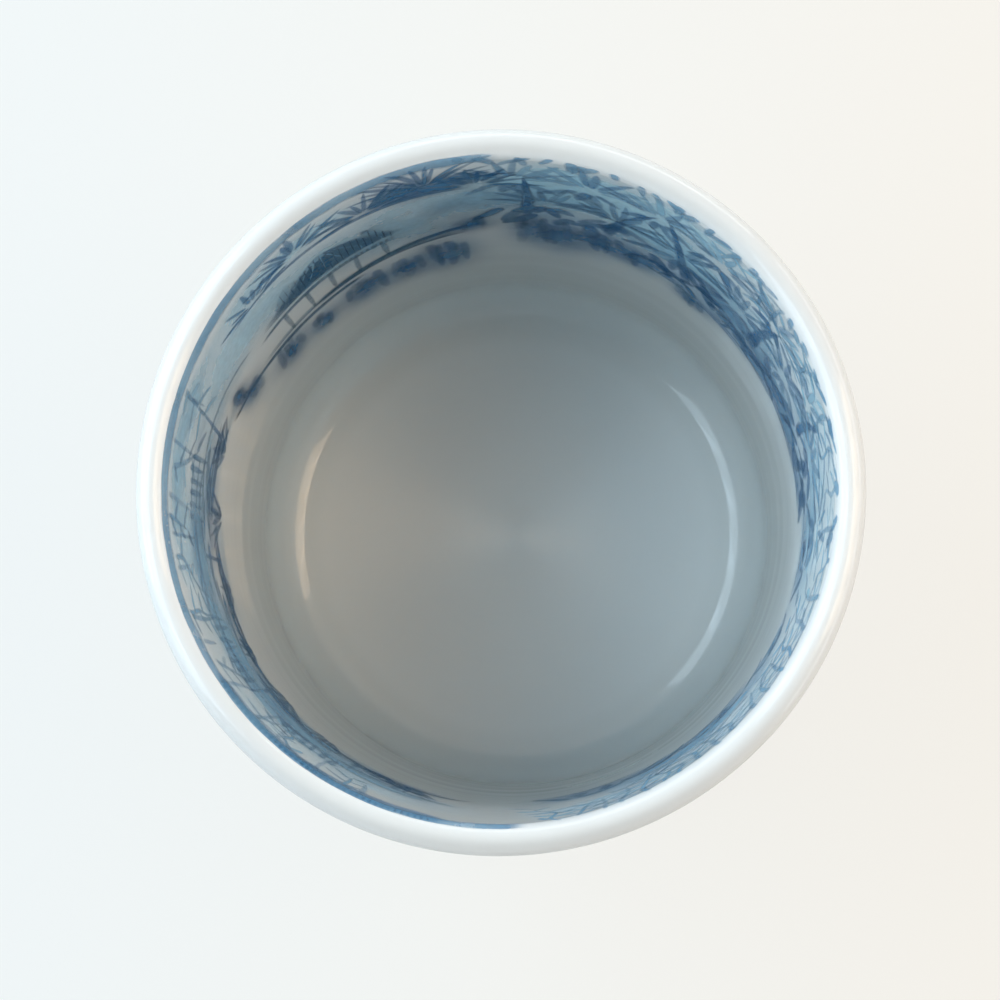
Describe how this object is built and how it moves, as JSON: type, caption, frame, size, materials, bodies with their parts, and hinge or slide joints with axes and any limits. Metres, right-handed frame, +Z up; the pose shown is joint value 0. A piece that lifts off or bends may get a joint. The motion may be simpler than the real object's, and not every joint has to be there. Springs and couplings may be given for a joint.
{
  "type": "teacup",
  "caption": "Handleless porcelain teacup with a rounded lip, a foot ring, clear glaze and a cobalt blue landscape painted inside the mouth.",
  "frame": {"origin": "centre of the foot ring, on the surface that the cup stands on", "axes": "+Z up along the axis of the cup; the painted leaves are on the +X side and the hills and shore on the -X side"},
  "size_m": [0.08, 0.08, 0.082],
  "materials": {
    "porcelain": "fired porcelain, matt",
    "bare_foot": "bare fired clay, matt and a little sandy",
    "glaze": "clear glaze, glossy",
    "cobalt": "cobalt blue under the glaze",
    "cobalt_wash": "thinned cobalt blue under the glaze"
  },
  "bodies": {
    "root": {"wall": "porcelain", "base": "porcelain", "foot_ring": "bare_foot", "inner_glaze": "glaze", "outer_glaze": "glaze", "base_glaze": "glaze", "rim_line": "cobalt", "leaf_dabs": "cobalt", "hill_wash": "cobalt_wash", "shore_strokes": "cobalt", "reeds": "cobalt"}
  },
  "joints": []
}
